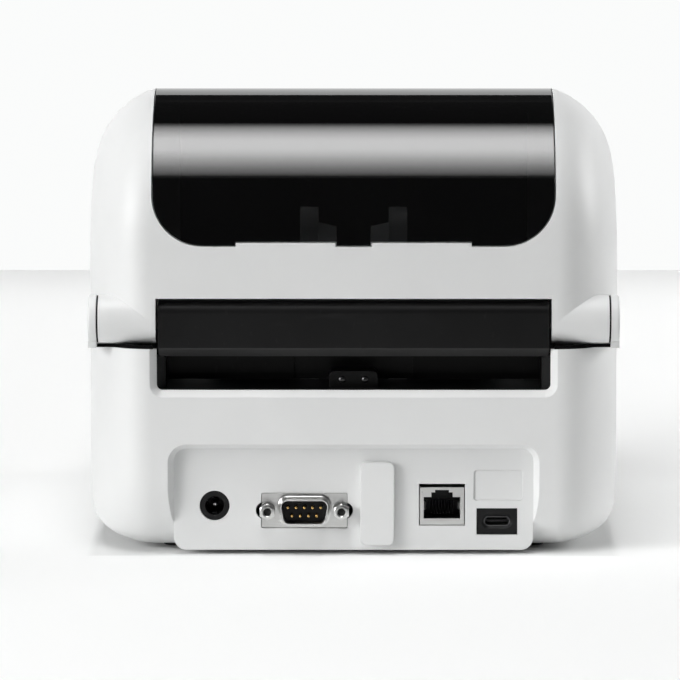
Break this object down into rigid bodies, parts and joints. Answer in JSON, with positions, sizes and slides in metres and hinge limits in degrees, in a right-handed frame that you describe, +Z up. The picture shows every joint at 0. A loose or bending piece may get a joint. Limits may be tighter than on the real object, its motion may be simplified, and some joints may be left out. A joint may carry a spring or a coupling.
{
  "type": "thermal label printer",
  "caption": "White desktop label printer with a hinged rounded cover, a smoked wrap-round window, a fanfold slot, roll guides and a rear connector bay.",
  "frame": {"origin": "centre of the footprint, on the surface that the feet stand on", "axes": "+Z up, the label exit faces -Y, the connectors and the cover hinge face +Y"},
  "size_m": [0.1806, 0.224, 0.155],
  "materials": {
    "white_shell": "satin moulded",
    "black_plastic": "satin moulded",
    "smoked_window": "smoked, polished",
    "grey_plastic": "satin moulded",
    "gear_plastic": "moulded acetal",
    "sensor_plastic": "satin moulded",
    "button_plastic": "satin moulded",
    "gloss_panel": "polished",
    "light_pipe": "clear, polished",
    "circuit_board": "solder mask",
    "steel": "zinc plated",
    "plated_steel": "nickel plated",
    "aluminium": "extruded",
    "head_ceramic": "glazed",
    "brass": "turned",
    "gold_contact": "gold plated",
    "black_rubber": "matt"
  },
  "bodies": {
    "base": {"lower_case": "white_shell", "port_blank": "white_shell", "media_tray": "black_plastic", "exit_lip": "black_plastic", "usb_insert": "black_plastic", "lan_body": "black_plastic", "serial_insert": "black_plastic", "dc_jack": "black_plastic", "chassis_plate": "steel", "motor_bracket": "steel", "hinge_pin_left": "steel", "hinge_pin_right": "steel", "tear_bar": "steel", "motor": "steel", "serial_shell": "plated_steel", "serial_standoff_left": "plated_steel", "serial_standoff_right": "plated_steel", "lan_shield": "plated_steel", "usb_shell": "plated_steel", "main_board": "circuit_board", "key_board": "circuit_board", "dc_pin": "gold_contact", "serial_pins": "gold_contact", "usb_tongue": "black_plastic", "platen_bearing_left": "gear_plastic", "platen_bearing_right": "gear_plastic", "control_panel": "gloss_panel", "status_light_1": "light_pipe", "status_light_2": "light_pipe", "foot_1": "black_rubber", "foot_2": "black_rubber", "foot_3": "black_rubber", "foot_4": "black_rubber"},
    "cover": {"top_cover": "white_shell", "window": "smoked_window", "head_housing": "black_plastic", "head_pivot": "steel", "head_spring_left": "steel", "head_spring_right": "steel", "strike_left": "steel", "strike_right": "steel"},
    "print_head": {"head_bracket": "steel", "heat_sink": "aluminium", "thermal_head": "head_ceramic"},
    "platen": {"platen_shaft": "steel", "platen_rubber": "black_rubber", "platen_gear": "gear_plastic"},
    "idler": {"idler_gear": "gear_plastic"},
    "motor_rotor": {"motor_pinion": "brass"},
    "left_guide": {"guide_left": "grey_plastic"},
    "right_guide": {"guide_right": "grey_plastic"},
    "guide_gear": {"guide_pinion": "gear_plastic"},
    "sensor": {"media_sensor": "sensor_plastic"},
    "latch": {"latch_shaft": "steel", "latch_left": "grey_plastic", "latch_right": "grey_plastic"},
    "power_key": {"power_button": "button_plastic"},
    "feed_key": {"feed_button": "button_plastic"}
  },
  "joints": [
    {"name": "cover_hinge", "type": "hinge", "parent": "base", "child": "cover", "pos_m": [0, 0.1028, 0.0795], "axis": [-1, 0, 0], "range_deg": [0, 85]},
    {"name": "head_lift", "type": "hinge", "parent": "cover", "child": "print_head", "pos_m": [0, -0.0655, 0.088], "axis": [-1, 0, 0], "range_deg": [0, 2], "stiffness_Nm_per_rad": 6},
    {"name": "platen_spin", "type": "hinge", "parent": "base", "child": "platen", "pos_m": [0, -0.0945, 0.064], "axis": [1, 0, 0], "continuous": true},
    {"name": "idler_spin", "type": "hinge", "parent": "base", "child": "idler", "pos_m": [0, -0.08641, 0.04397], "axis": [1, 0, 0], "continuous": true},
    {"name": "motor_spin", "type": "hinge", "parent": "base", "child": "motor_rotor", "pos_m": [0, -0.07486, 0.03069], "axis": [1, 0, 0], "continuous": true},
    {"name": "left_guide_slide", "type": "slide", "parent": "base", "child": "left_guide", "axis": [1, 0, 0], "range_m": [0, 0.0465]},
    {"name": "right_guide_slide", "type": "slide", "parent": "base", "child": "right_guide", "axis": [-1, 0, 0], "range_m": [0, 0.0465]},
    {"name": "guide_pinion_spin", "type": "hinge", "parent": "base", "child": "guide_gear", "pos_m": [0, 0.018, 0.0142], "axis": [0, 0, 1], "range_deg": [0, 333.23]},
    {"name": "sensor_slide", "type": "slide", "parent": "base", "child": "sensor", "axis": [1, 0, 0], "range_m": [-0.05, 0.05]},
    {"name": "latch_turn", "type": "hinge", "parent": "base", "child": "latch", "pos_m": [0, -0.0515, 0.046], "axis": [1, 0, 0], "range_deg": [0, 15], "stiffness_Nm_per_rad": 0.3},
    {"name": "power_press", "type": "slide", "parent": "base", "child": "power_key", "axis": [0, 1, 0], "range_m": [0, 0.001], "stiffness_N_per_m": 500},
    {"name": "feed_press", "type": "slide", "parent": "base", "child": "feed_key", "axis": [0, 1, 0], "range_m": [0, 0.001], "stiffness_N_per_m": 500}
  ],
  "couplings": [
    {"joint": "idler_spin", "follows": "platen_spin", "ratio": -0.8},
    {"joint": "motor_spin", "follows": "platen_spin", "ratio": 1.7143},
    {"joint": "right_guide_slide", "follows": "left_guide_slide", "ratio": 1},
    {"joint": "guide_pinion_spin", "follows": "left_guide_slide", "rad_per_m": 125}
  ]
}
